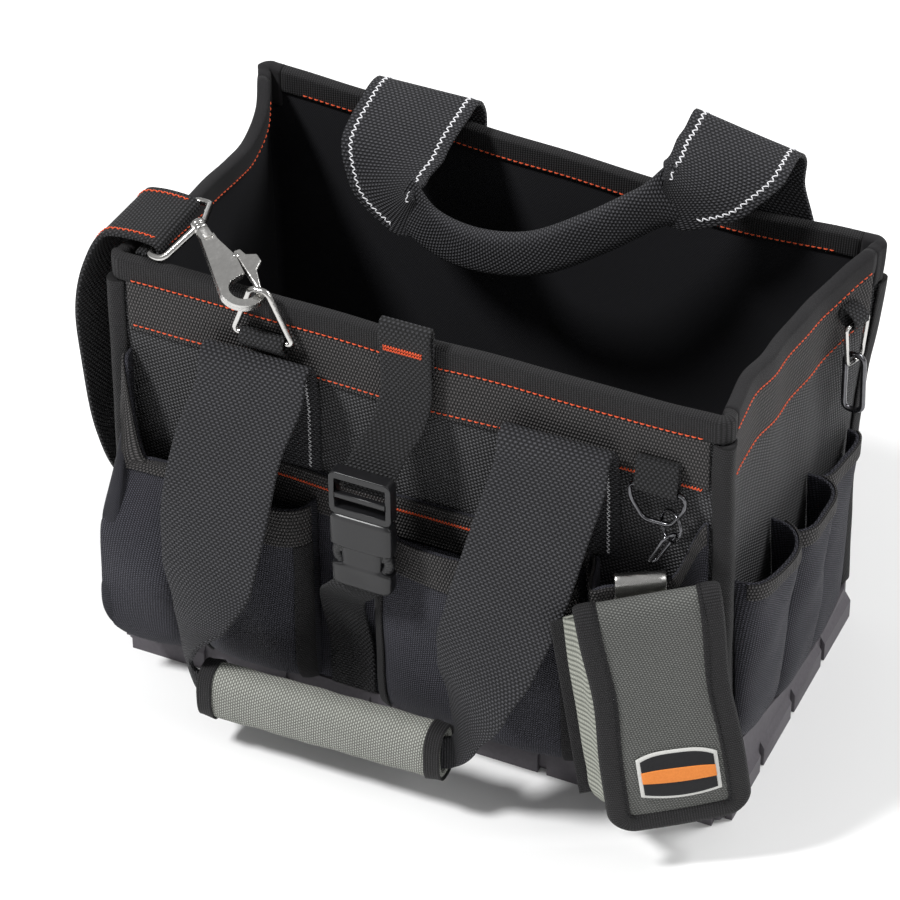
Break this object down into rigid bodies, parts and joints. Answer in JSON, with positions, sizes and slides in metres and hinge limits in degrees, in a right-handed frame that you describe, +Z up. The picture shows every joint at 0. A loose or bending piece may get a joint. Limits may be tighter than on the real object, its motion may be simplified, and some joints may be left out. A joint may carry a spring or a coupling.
{
  "type": "open top tool tote",
  "caption": "Open top soft tool tote with moulded base, padded walls, carry handles, outer pockets, closure strap with buckle, shoulder strap on a snap hook and a small clip-on pouch.",
  "frame": {"origin": "centre of the moulded base's underside, on the floor", "axes": "+X to the viewer's right along the long front, +Y from the front to the back, +Z up"},
  "size_m": [0.3714, 0.2581, 0.2925],
  "materials": {
    "nylon": "woven nylon, matt",
    "webbing": "ribbed webbing",
    "tape": "soft folded binding tape",
    "base": "matt moulded plastic",
    "plastic": "satin moulded plastic",
    "grey": "coarse basket weave",
    "steel": "bright nickel plate",
    "dark_steel": "dark nickel plate"
  },
  "bodies": {
    "tote": {"bag_shell": "nylon", "base_tray": "base", "rim_binding_front": "tape", "rim_binding_back": "tape", "rim_binding_left": "tape", "rim_binding_right": "tape", "ear_cap_right": "tape", "ear_cap_left": "tape", "corner_binding_front_left": "tape", "corner_binding_front_right": "tape", "corner_binding_back_right": "tape", "corner_binding_back_left": "tape", "band_front": "webbing", "band_back": "webbing", "band_left": "webbing", "band_right": "webbing", "front_panel": "nylon", "panel_band": "webbing", "pocket_end_left": "nylon", "pocket_left": "nylon", "pocket_right": "nylon", "pocket_end_right": "nylon", "side_pocket_front": "nylon", "side_pocket_middle": "nylon", "side_pocket_rear": "nylon", "front_handle_left": "webbing", "front_handle_right": "webbing", "front_grip": "grey", "back_handle_left": "webbing", "back_handle_right": "webbing", "back_grip": "webbing", "closure_strap_upper": "webbing", "closure_strap_lower": "webbing", "buckle_body": "plastic", "buckle_tongue": "plastic", "triangle_ring": "steel", "ring_tab": "webbing", "d_ring_tab": "webbing", "d_ring": "dark_steel", "split_ring": "dark_steel", "ring_link": "dark_steel", "hook_body": "steel", "strap_loop": "steel", "shoulder_strap": "webbing", "rear_hook": "steel", "rear_ring": "steel", "rear_tab": "webbing", "side_tab": "webbing", "side_ring": "steel", "side_clip": "dark_steel", "tape_tab": "webbing", "tape_ring": "steel", "tape_strap": "webbing", "pouch_clip": "steel", "pouch_body": "grey", "pouch_flap": "grey"},
    "gate": {"hook_gate": "steel"}
  },
  "joints": [
    {"name": "hook_gate_hinge", "type": "hinge", "parent": "tote", "child": "gate", "pos_m": [-0.09662, -0.07728, 0.26221], "axis": [-0.2081, 0.1425, -0.9677], "range_deg": [0, 5], "stiffness_Nm_per_rad": 0.02, "springref_deg": -11.46}
  ]
}
